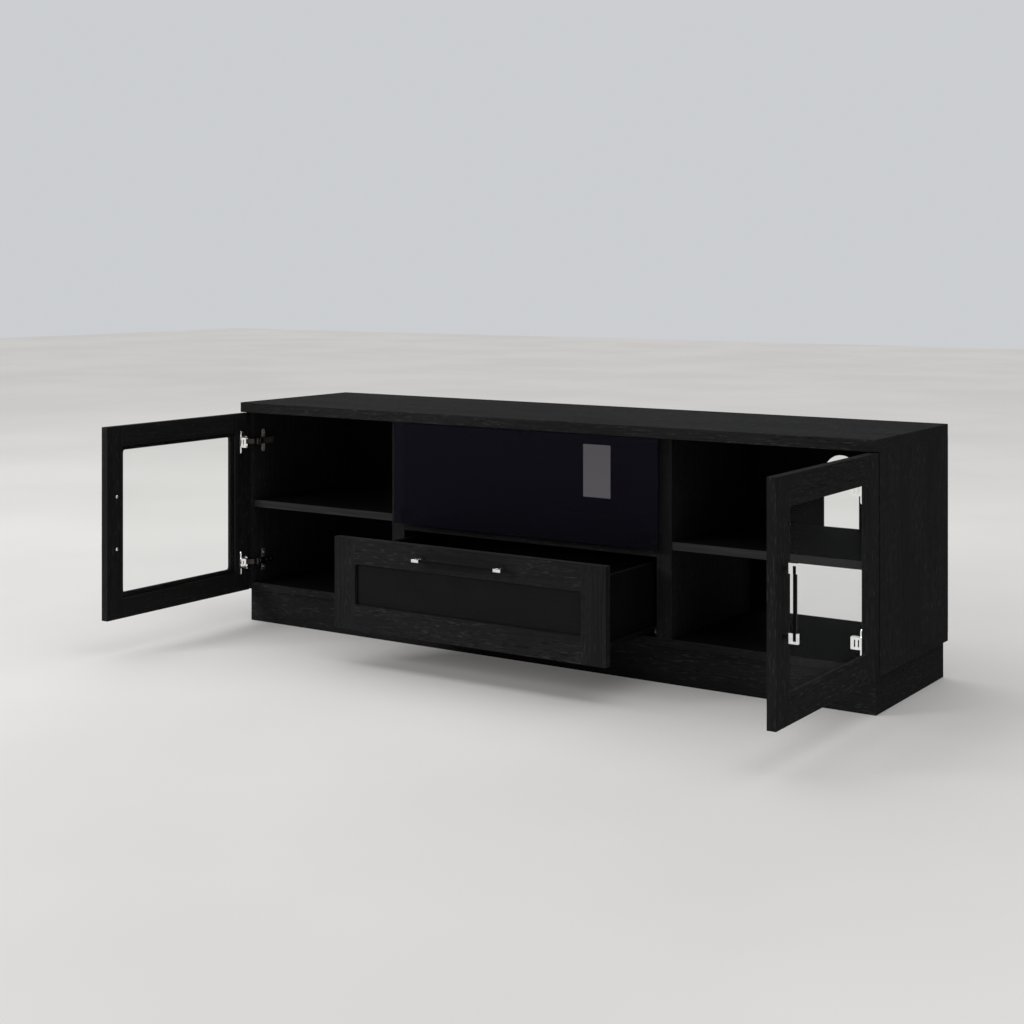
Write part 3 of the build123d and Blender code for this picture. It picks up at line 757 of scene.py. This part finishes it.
@dataclass
class Workshop:
    """Turns CAD nodes into eased pieces, and keeps each finish's material."""

    nodes: Mapping[str, Piece]
    homes: Mapping[str, str]
    materials: dict[str, Material] = field(default_factory=dict)
    count: int = 0

    def finish(self, finish: Finish) -> Material:
        """The material of a finish, built once."""
        if finish.name not in self.materials:
            self.materials[finish.name] = finish.material()
        return self.materials[finish.name]

    def solid_form(self, node: str) -> Form:
        """A CAD node's shape with its facets joined into whole faces.

        Args:
            node: The node's name.

        Returns:
            The shape, in the row frame.
        """
        form = bmesh.new()
        form.from_mesh(self.nodes[node].data)
        bmesh.ops.remove_doubles(form, verts=form.verts, dist=MERGE_REACH)
        bmesh.ops.dissolve_limit(form, angle_limit=FLAT_ANGLE, verts=form.verts, edges=form.edges)
        return form

    def ease(self, form: Form, width: float) -> None:
        """Round a shape's sharp edges, and mark the crest of each round for wear and a painted
        highlight.

        Args:
            form: The shape.
            width: How far the round reaches from the edge, in metres.
        """
        wear = form.verts.layers.float.new(WEAR_AND_HIGHLIGHT)
        sharp = [e for e in form.edges if e.is_manifold and e.calc_face_angle() > EASED_CORNER]
        rounds = bmesh.ops.bevel(
            form,
            geom=sharp,
            offset=width,
            offset_type="OFFSET",
            segments=EASE_STEPS,
            profile=0.5,
            affect="EDGES",
            clamp_overlap=True,
        )
        curved = set(rounds["faces"])
        for vertex in rounds["verts"]:
            if curved.issuperset(vertex.link_faces):
                vertex[wear] = 1.0

    def place(
        self, name: str, form: Form, body: str, finish: Finish, crease: float = BOARD_CREASE
    ) -> Piece:
        """Make an object of a shape, with a finish, riding on a body.

        Args:
            name: The piece's name.
            form: Its shape, which is used up.
            body: The CAD body that carries it.
            finish: Its finish.
            crease: Edges sharper than this many degrees stay crisp.

        Returns:
            The piece.
        """
        mesh = bpy.data.meshes.new(name)
        form.to_mesh(mesh)
        form.free()
        mesh.shade_smooth()
        mesh.set_sharp_from_angle(angle=math.radians(crease))
        piece = add_object(name, mesh)
        mesh.materials.append(self.finish(finish))
        even = piece.modifiers.new("even_light", "WEIGHTED_NORMAL")
        even.keep_sharp = True
        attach(piece, body)
        self.count += 1
        LOG.info("%s rides on %s in %s", name, body, finish.name)
        return piece

    def grain(self, piece: Piece, way: GrainWay) -> None:
        """Lay a board's grain along one row axis.

        Args:
            piece: The board.
            way: The axis of its grain.
        """
        order = [way.value, (way.value + 1) % 3, (way.value + 2) % 3]
        shift = Vector([self.count * step for step in GRAIN_SHIFT])
        layer = piece.data.attributes.new(GRAIN, "FLOAT_VECTOR", "POINT")
        for vertex, entry in zip(piece.data.vertices, layer.data):
            entry.vector = Vector([vertex.co[axis] for axis in order]) + shift

    def eased_copy(self, node: str, finish: Finish, width: float) -> Piece:
        """A piece with a CAD node's shape and rounded edges, which stands for the node.

        Args:
            node: The node's name.
            finish: The piece's finish.
            width: The round's reach in metres.

        Returns:
            The piece.
        """
        form = self.solid_form(node)
        self.ease(form, width)
        piece = self.place("eased_" + node, form, self.homes[node], finish)
        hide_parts(node)
        return piece

    def mark(self, piece: Piece, name: str, way: Point, share: float = 1.0) -> None:
        """Mark the faces of a board that look one way.

        Args:
            piece: The board.
            name: The mark's name.
            way: The facing of the marked faces.
            share: The mark's strength.
        """
        layer = piece.data.attributes.new(name, "FLOAT", "FACE")
        for face, entry in zip(piece.data.polygons, layer.data):
            entry.value = share if face.normal.dot(way) > FACING_COSINE else 0.0

    def board(self, node: str, way: GrainWay, finish: Finish, width: float) -> Piece:
        """An eased board with its grain.

        Args:
            node: The board's CAD node.
            way: The axis of its grain.
            finish: Its finish.
            width: The reach of its eased edges in metres.

        Returns:
            The board.
        """
        piece = self.eased_copy(node, finish, width)
        self.grain(piece, way)
        return piece

    def screws(
        self, name: str, screw: Screw, spots: Sequence[Spot], body: str, finish: Finish
    ) -> Piece:
        """A set of screws as one piece, each at a seat and facing one way."""
        return self.place(name, screw_form(screw, spots), body, finish, SCREW_CREASE)

    def node_screws(self, node: str, screw: Screw, spots: Sequence[Spot]) -> None:
        """A set of bright screws that stands for a CAD node."""
        piece = self.screws("cross_" + node, screw, spots, self.homes[node], NICKEL)
        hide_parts(node)

    def pierced(self, form: Form, tool: Form) -> Form:
        """A shape less another shape.

        Args:
            form: The shape, which is used up.
            tool: What is cut away, which is used up.

        Returns:
            What is left.
        """
        held = []
        for name, part in (("stock", form), ("tool", tool)):
            mesh = bpy.data.meshes.new(name)
            part.to_mesh(mesh)
            part.free()
            held.append(add_object(name, mesh))
        cut = held[0].modifiers.new("cut", "BOOLEAN")
        cut.operation = "DIFFERENCE"
        cut.solver = "EXACT"
        cut.object = held[1]
        solved = held[0].evaluated_get(bpy.context.evaluated_depsgraph_get())
        rest = bmesh.new()
        rest.from_mesh(solved.to_mesh())
        solved.to_mesh_clear()
        for item in held:
            mesh = item.data
            bpy.data.objects.remove(item)
            bpy.data.meshes.remove(mesh)
        return rest

    def dress(self, node: str, finish: Finish) -> None:
        """Give a CAD node a finish and keep its shape."""
        item = self.nodes[node]
        item.data.materials.clear()
        item.data.materials.append(self.finish(finish))
        LOG.info("%s keeps its shape in %s", node, finish.name)


@dataclass
class Carcass:
    """The standing boards, shelves, plinth and shelf pins."""

    shop: Workshop
    edge: float = BOARD_EASE
    loose: tuple[str, str] = ("left_shelf", "right_shelf")

    def build(self) -> None:
        """Ease and dress every fixed board."""
        along = ("top_panel", "plinth_front", "plinth_back")
        upright = ("left_side_panel", "right_side_panel", "left_divider", "right_divider")
        for node in along:
            self.shop.board(node, GrainWay.WIDTH, VENEER, self.edge)
        for node in ("deck", "centre_shelf", *self.loose):
            board = self.shop.board(node, GrainWay.WIDTH, VENEER, self.edge)
            # Painted shade: the top faces of the deck and shelves are darkened.
            self.shop.mark(board, PAINTED_SHADE, UPWARD)
            if node in self.loose:
                # Painted light on the loose shelves' front faces.
                self.shop.mark(board, PAINTED_FRONT_LIGHT, FORWARD)
        for node in upright:
            self.shop.board(node, GrainWay.HEIGHT, VENEER, self.edge)
        for node in ("plinth_ends", "plinth_braces"):
            self.shop.board(node, GrainWay.DEPTH, VENEER, self.edge)
        self.shop.eased_copy("shelf_pins", NICKEL, FINE_EASE)


@dataclass
class BackPanel:
    """One thin back with its cable cut-out, screwed to the carcass all round."""

    shop: Workshop
    node: str
    bare: Pair = (0.0, 0.0)
    edge: float = THIN_EASE
    inset: float = 0.0052
    corner: float = 0.022
    pitch: float = 0.165
    screw: Screw = Screw(Head.FLAT, 0.0029, 0.0016)
    slack: float = 0.00015
    flush: float = 0.0001

    def row(self, low: float, high: float) -> list[float]:
        """Even places from end to end, no further apart than the pitch."""
        count = math.ceil((high - low) / self.pitch)
        return [low + (high - low) * i / count for i in range(count + 1)]

    def spots(self) -> list[Spot]:
        """The screws' seats along the panel's four edges, facing backwards."""
        low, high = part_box(self.node)
        seat = high[1] - self.flush - self.screw.height
        places = []
        for x in self.row(low[0] + self.corner, high[0] - self.corner):
            places.append((x, high[2] - self.inset))
            if not self.bare[0] < x < self.bare[1]:
                places.append((x, low[2] + self.inset))
        indent = self.corner + self.pitch / 2
        for z in self.row(low[2] + indent, high[2] - indent):
            places += [(low[0] + self.inset, z), (high[0] - self.inset, z)]
        return [((x, seat, z), BACKWARD) for x, z in places]

    def holes(self, spots: Sequence[Spot]) -> Form:
        """The countersunk holes' shape, open through the panel's outer face.

        Args:
            spots: The screws' seats and facings.

        Returns:
            The shape to cut away.
        """
        wide = self.screw.radius + self.slack
        form = bmesh.new()
        for (x, y, z), _ in spots:
            top = y + self.screw.height + self.flush
            sink = (y - self.slack, top, wide / 2, wide)
            mouth = (top, top + self.slack, wide, wide)
            for low, high, r_low, r_high in (sink, mouth):
                turn = Matrix.Rotation(-math.pi / 2, 4, "X")
                place = Matrix.Translation((x, (low + high) / 2, z)) @ turn
                bmesh.ops.create_cone(
                    form,
                    cap_ends=True,
                    segments=self.screw.sides,
                    radius1=r_low,
                    radius2=r_high,
                    depth=high - low,
                    matrix=place,
                )
        return form

    def build(self) -> None:
        """Make the panel, its holes and its screws."""
        spots = self.spots()
        form = self.shop.solid_form(self.node)
        self.shop.ease(form, self.edge)
        form = self.shop.pierced(form, self.holes(spots))
        body = self.shop.homes[self.node]
        panel = self.shop.place("eased_" + self.node, form, body, BACKING)
        self.shop.grain(panel, GrainWay.HEIGHT)
        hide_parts(self.node)
        self.shop.screws(self.node + "_screws", self.screw, spots, body, NICKEL)


CUP_SCREW = Screw(Head.PAN, radius=0.0037, height=0.0016)
HANDLE_SCREW = Screw(
    Head.PAN, radius=0.004, height=0.0022, shank_radius=0.002, shank_length=0.037
)


@dataclass
class Door:
    """One glazed door with its handle and hinge cups."""

    shop: Workshop
    side: Side
    cup_screw: Screw = CUP_SCREW
    cup_screw_pitch: float = 0.048
    wing_line: float = 0.0095
    wing_reach: float = 0.031
    handle_screw: Screw = HANDLE_SCREW
    knuckle_cuts: tuple[float, ...] = (0.0, 0.006, 0.009, 0.0145, 0.0175, 0.025)
    knuckle_half: float = 0.013
    knuckle_slot_half: float = 0.0075
    knuckle_set: float = 0.0006
    knuckle_depth: float = 0.0135
    knuckle_foot: float = 0.010
    knuckle_lift: float = 0.0002
    sheet: float = 0.0011
    rib_half: float = 0.01025
    rib_offset: float = 0.02025
    rib_end: float = 0.005
    rib_thick_half: float = 0.0014
    rib_height: float = 0.0055
    rib_line: float = 0.0032
    rib_bends: int = 6
    rib_turns: int = 8
    inner_shade: float = 0.4

    def knuckle_sheet(self, form: Form, at: Point) -> None:
        """Fold a slotted sheet into the channel that stands on a hinge cup's wing.

        Args:
            form: The shape that gets the sheet.
            at: The foot of the channel's front face, half-way up.
        """
        inward = -self.side.value
        x0, y0, z0 = at
        half, slot = self.knuckle_half, self.knuckle_slot_half
        levels = (-half, -slot, slot, half)
        grid = [
            [form.verts.new((x0 + inward * cut, y0, z0 + level)) for level in levels]
            for cut in self.knuckle_cuts
        ]
        for i in range(len(grid) - 1):
            for j in range(len(levels) - 1):
                if i % 2 == 0 or j != 1:
                    near, far = grid[i][j : j + 2], grid[i + 1][j : j + 2]
                    form.faces.new((near[0], far[0], far[1], near[1]))
        for edge, depth in (
            ([row[0] for row in grid], self.knuckle_depth),
            ([row[-1] for row in grid], self.knuckle_depth),
            (grid[0][:2], self.knuckle_foot),
            (grid[0][2:], self.knuckle_foot),
        ):
            folded = [form.verts.new(v.co + Vector((0.0, depth, 0.0))) for v in edge]
            for i in range(len(edge) - 1):
                form.faces.new((edge[i], edge[i + 1], folded[i + 1], folded[i]))

    def wing_rib(self, form: Form, at: Point) -> None:
        """Add the round-topped rib along one of a hinge cup's wings.

        Args:
            form: The shape that gets the rib.
            at: The middle of the rib's foot.
        """
        inward = -self.side.value
        x0, y0, z0 = at
        bends = [math.pi / 2 * (step + 1) / self.rib_bends for step in range(self.rib_bends)]
        turns = [math.pi * step / self.rib_turns for step in range(self.rib_turns + 1)]
        lower = [(self.rib_end * (1.0 - math.cos(b)) - self.rib_half, math.sin(b)) for b in bends]
        rings = []
        for z, share in lower + [(-z, share) for z, share in reversed(lower)]:
            rise, half = inward * self.rib_height * share, self.rib_thick_half * share
            arc = [(x0 + rise * math.sin(t), y0 + half * math.cos(t), z0 + z) for t in turns]
            rings.append([form.verts.new(point) for point in arc])
        for low, high in zip(rings, rings[1:]):
            join_rings(form, low, high)
        form.faces.new(rings[0])
        form.faces.new(rings[-1])

    def knuckle_form(self) -> Form:
        """The folded channels and wing ribs on both of the door's hinge cups."""
        low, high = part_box(f"{self.side.word}_hinge_cups")
        seat = high[0] if self.side is Side.LEFT else low[0]
        lift = -self.side.value * self.knuckle_lift
        middles = (low[2] + self.wing_reach, high[2] - self.wing_reach)
        form = bmesh.new()
        for z in middles:
            self.knuckle_sheet(form, (seat + lift, low[1] - self.knuckle_set, z))
        bmesh.ops.recalc_face_normals(form, faces=form.faces)
        bmesh.ops.solidify(form, geom=form.faces[:], thickness=self.sheet)
        for z in middles:
            for step in (-self.rib_offset, self.rib_offset):
                self.wing_rib(form, (seat, low[1] + self.rib_line, z + step))
        bmesh.ops.recalc_face_normals(form, faces=form.faces)
        return form

    def cup_screws(self) -> list[Spot]:
        """The seats of the screws in the hinge cups' wings, facing into the bay."""
        low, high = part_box(f"{self.side.word}_hinge_cups")
        seat = high[0] if self.side is Side.LEFT else low[0]
        line = low[1] + self.wing_line
        half = self.cup_screw_pitch / 2
        return [
            ((seat, line, middle + step), self.side.inward)
            for middle in (low[2] + self.wing_reach, high[2] - self.wing_reach)
            for step in (-half, half)
        ]

    def handle_screws(self) -> list[Spot]:
        """The seats of the handle screws on the door's inner face."""
        low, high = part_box(f"{self.side.word}_handle_screws")
        inward = -self.side.value
        seat = (high[0] if inward > 0 else low[0]) - inward * self.handle_screw.height
        line = (low[1] + high[1]) / 2
        radius = self.handle_screw.radius
        heights = (low[2] + radius, high[2] - radius)
        return [((seat, line, z), self.side.inward) for z in heights]

    def build(self) -> None:
        """Ease and dress every piece of the door."""
        word = self.side.word
        for name, way in (("stiles", GrainWay.HEIGHT), ("rails", GrainWay.DEPTH)):
            board = self.shop.board(f"{word}_door_{name}", way, VENEER, HAIR_EASE)
            # Painted shade: the frame's faces towards the cabinet's middle are darkened by the
            # inner share.
            self.shop.mark(board, PAINTED_SHADE, self.side.inward, self.inner_shade)
        self.shop.dress(f"{word}_door_glass", DOOR_PANE)
        for name, finish, ease in (
            ("door_beads", BEADING, SOFT_EASE),
            ("hinge_cups", NICKEL, FINE_EASE),
            ("hinge_links", BURNISHED, THIN_EASE),
            ("handle_bar", BLACK_COAT, SOFT_EASE),
            ("handle_caps", CHROME, SOFT_EASE),
            ("handle_posts", POST_COAT, FINE_EASE),
        ):
            self.shop.eased_copy(f"{word}_{name}", finish, ease)
        node = f"{word}_handle_screws"
        body = self.shop.homes[node]
        self.shop.node_screws(node, self.handle_screw, self.handle_screws())
        self.shop.screws(f"{word}_cup_screws", self.cup_screw, self.cup_screws(), body, BURNISHED)
        self.shop.place(f"{word}_hinge_knuckles", self.knuckle_form(), body, NICKEL)


@dataclass
class Drawer:
    """The glazed drawer with its box, handle and runners."""

    shop: Workshop
    handle_screw: Screw = HANDLE_SCREW

    def handle_screws(self) -> list[Spot]:
        """The seats of the handle screws inside the drawer front."""
        low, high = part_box("drawer_handle_screws")
        seat = high[1] - self.handle_screw.height
        line = (low[2] + high[2]) / 2
        radius = self.handle_screw.radius
        return [((x, seat, line), BACKWARD) for x in (low[0] + radius, high[0] - radius)]

    def build(self) -> None:
        """Ease and dress every piece of the drawer."""
        self.shop.board("drawer_front_stiles", GrainWay.HEIGHT, VENEER, HAIR_EASE)
        self.shop.board("drawer_front_rails", GrainWay.WIDTH, VENEER, HAIR_EASE)
        self.shop.dress("drawer_front_glass", SHADED_DRAWER_PANE)
        self.shop.eased_copy("drawer_front_beads", BEADING, SOFT_EASE)
        self.shop.board("drawer_sides", GrainWay.DEPTH, MELAMINE, SOFT_EASE)
        self.shop.board("drawer_back", GrainWay.WIDTH, MELAMINE, SOFT_EASE)
        self.shop.board("drawer_bottom", GrainWay.WIDTH, MELAMINE, THIN_EASE)
        for node, finish, ease in (
            ("drawer_runners", RUNNER_COAT, HAIR_EASE),
            ("cabinet_runners", RUNNER_COAT, HAIR_EASE),
            ("drawer_handle_bar", BLACK_COAT, SOFT_EASE),
            ("drawer_handle_caps", CHROME, SOFT_EASE),
            ("drawer_handle_posts", POST_COAT, FINE_EASE),
        ):
            self.shop.eased_copy(node, finish, ease)
        for node in ("runner_front_rollers", "drawer_rear_rollers"):
            self.shop.dress(node, NYLON)
        self.shop.node_screws("drawer_handle_screws", self.handle_screw, self.handle_screws())


@dataclass
class Fittings:
    """The hinge arms and plates, the flap with its hinges, and the touch latch."""

    shop: Workshop
    plate_screw: Screw = Screw(Head.PAN, 0.0036, 0.0016)
    plate_screw_step: float = 0.019
    plate_line: float = 0.012
    plate_thick: float = 0.003
    plate_reach: float = 0.030
    arm_screw: Screw = Screw(Head.PAN, 0.0032, 0.0013)
    arm_face: float = 0.850
    arm_half: float = 0.008
    arm_lines: Pair = (0.0085, 0.0255)
    ear_screw: Screw = Screw(Head.PAN, 0.0027, 0.0012)
    ear_face: float = 0.356
    ear_lines: Pair = (0.007, 0.022)
    ear_z: float = 0.327

    def plate_screws(self) -> list[Spot]:
        """The seats of the screws in the mounting plates' wings."""
        low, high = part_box("hinge_plates")
        face = high[0] - self.plate_thick
        line = low[1] + self.plate_line
        return [
            ((side.value * face, line, middle + step), side.inward)
            for side in Side
            for middle in (low[2] + self.plate_reach, high[2] - self.plate_reach)
            for step in (-self.plate_screw_step, self.plate_screw_step)
        ]

    def arm_screws(self) -> list[Spot]:
        """The seats of the adjusting screws on the hinge arms."""
        low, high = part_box("hinge_arms")
        return [
            ((side.value * self.arm_face, high[1] - line, z), side.inward)
            for side in Side
            for z in (low[2] + self.arm_half, high[2] - self.arm_half)
            for line in self.arm_lines
        ]

    def ear_screws(self) -> list[Spot]:
        """The seats of the screws in the flap brackets' ears."""
        _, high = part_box("flap_hinge_brackets")
        return [
            ((side.value * self.ear_face, high[1] - line, self.ear_z), side.inward)
            for side in Side
            for line in self.ear_lines
        ]

    def build(self) -> None:
        """Ease and dress every fitting."""
        self.shop.dress("flap_glass", SMOKED)
        for node, finish, ease in (
            ("hinge_arms", BURNISHED, FINE_EASE),
            ("hinge_plates", ZINC, PLATE_EASE),
            ("flap_hinge_brackets", BLACK_COAT, FINE_EASE),
            ("flap_hinge_leaves", BLACK_COAT, HAIR_EASE),
            ("flap_strike_plate", BLACK_COAT, FINE_EASE),
            ("touch_latch_housing", LATCH_BLACK, BOARD_EASE),
            ("touch_latch_plunger", LATCH_BLACK, SOFT_EASE),
        ):
            self.shop.eased_copy(node, finish, ease)
        for name, screw, spots, finish in (
            ("hinge_plate_screws", self.plate_screw, self.plate_screws(), ZINC),
            ("hinge_arm_screws", self.arm_screw, self.arm_screws(), BURNISHED),
            ("flap_ear_screws", self.ear_screw, self.ear_screws(), BLACK_COAT),
        ):
            self.shop.screws(name, screw, spots, "cabinet", finish)


@dataclass
class Studio:
    """The floor, the surround, the lamps and the camera."""

    reach: float = 16.0
    floor_deep: Colour = (0.77, 0.755, 0.735)
    floor_pale: Colour = (0.82, 0.805, 0.785)
    floor_glow: float = 1.06
    floor_roughness: float = 0.7
    floor_shine: float = 0.2
    cloud_scale: Point = (0.8, 0.8, 0.8)
    near: float = 0.75
    far: float = 2.6
    near_lift: float = 0.1
    far_lift: float = 0.6
    surround_tone: Colour = (0.60, 0.615, 0.635)
    sky_tone: Colour = (0.95, 0.97, 1.0)
    sky_strength: float = 0.2
    overhead_at: Point = (-1.2, 0.4, 3.4)
    overhead_aim: Point = (-1.2, 0.4, 0.0)
    overhead_size: Pair = (9.0, 5.0)
    overhead_power: float = 163.0
    key_at: Point = (-2.3, -3.2, 1.7)
    key_aim: Point = (0.0, -0.2, 0.3)
    key_size: Pair = (1.2, 1.2)
    key_power: float = 49.0
    camera_at: Point = (2.2319, -3.5877, 0.9419)
    heading: float = 33.773
    lens: float = 59.89
    sensor: float = 36.0
    shift: float = -0.2389

    def floor(self) -> None:
        """A plain pale floor, lit near the cabinet and seen as a pale backdrop further off."""
        r = self.reach
        mesh = bpy.data.meshes.new("floor")
        mesh.from_pydata([(-r, -r, 0), (r, -r, 0), (r, r, 0), (-r, r, 0)], [], [(0, 1, 2, 3)])
        sheet = add_object("floor", mesh)
        shader = Shader("floor")
        place = shader.node("ShaderNodeTexCoord", None, None, "Object")
        cloud = shader.noise(place, self.cloud_scale, detail=3.0)
        tone = shader.mix(cloud.step(*MID_RISE), rgba(self.floor_deep), rgba(self.floor_pale))
        matt = {"Roughness": self.floor_roughness, "Specular IOR Level": self.floor_shine}
        lit = shader.node("ShaderNodeBsdfPrincipled", None, {"Base Color": tone} | matt)
        glow = {"Color": tone, "Strength": self.floor_glow}
        plain = shader.node("ShaderNodeEmission", None, glow)
        off = shader.node("ShaderNodeVectorMath", {"operation": "LENGTH"}, {0: place}, "Value")
        lift = self.near_lift + (self.far_lift - self.near_lift) * off.step(self.near, self.far)
        share = lift * shader.ray("Is Camera Ray") + shader.ray("Is Glossy Ray")
        mixed = shader.node("ShaderNodeMixShader", None, {0: share, 1: lit, 2: plain})
        mesh.materials.append(shader.surface(mixed))
        shader.owner.cycles.emission_sampling = "NONE"

    def surround(self) -> None:
        """A pale surround to look at, and a dim sky for fill light."""
        shader = Shader("surround", world=True)
        sky = {"Color": rgba(self.sky_tone), "Strength": self.sky_strength}
        fill = shader.node("ShaderNodeBackground", None, sky)
        pale = shader.node("ShaderNodeBackground", None, {"Color": rgba(self.surround_tone)})
        share = shader.ray("Is Camera Ray") + shader.ray("Is Glossy Ray")
        mixed = shader.node("ShaderNodeMixShader", None, {0: share, 1: fill, 2: pale})
        bpy.context.scene.world = shader.surface(mixed)

    def lamp(self, name: str, at: Point, aim: Point, size: Pair, power: float) -> None:
        """A soft rectangular lamp.

        Args:
            name: The lamp's name.
            at: Its place.
            aim: What it points at.
            size: Its width and height.
            power: Its watts.
        """
        data = bpy.data.lights.new(name, "AREA")
        data.shape = "RECTANGLE"
        data.size, data.size_y = size
        data.energy = power
        item = add_object(name, data)
        item.location = at
        item.rotation_euler = (Vector(aim) - Vector(at)).to_track_quat("-Z", "Y").to_euler()

    def camera(self) -> None:
        """A level camera at the photograph's place."""
        data = bpy.data.cameras.new("camera")
        data.lens = self.lens
        data.sensor_width = self.sensor
        data.shift_y = self.shift
        item = add_object("camera", data)
        item.location = self.camera_at
        item.rotation_euler = (math.radians(90.0), 0.0, math.radians(self.heading))
        bpy.context.scene.camera = item

    def build(self) -> None:
        """Set the floor, the surround, the lamps and the camera."""
        bpy.context.scene.view_settings.view_transform = "Standard"
        self.floor()
        self.surround()
        self.lamp(
            "overhead", self.overhead_at, self.overhead_aim, self.overhead_size, self.overhead_power
        )
        self.lamp("key", self.key_at, self.key_aim, self.key_size, self.key_power)
        self.camera()


def main() -> None:
    """Build every piece in order."""
    logging.basicConfig(level=logging.INFO, format="%(message)s")
    homes = {
        node: body
        for body, members in frame["record"]["behaviour"]["bodies"].items()
        for node in members
    }
    shop = Workshop(frame["nodes"], homes)
    Carcass(shop).build()
    for panel in (
        BackPanel(shop, "left_back_panel"),
        BackPanel(shop, "centre_back_panel"),
        BackPanel(shop, "right_back_panel", RIGHT_PORT_SPAN),
    ):
        panel.build()
    for side in Side:
        Door(shop, side).build()
    Drawer(shop).build()
    Fittings(shop).build()
    Studio().build()


if __name__ == "__main__":
    main()
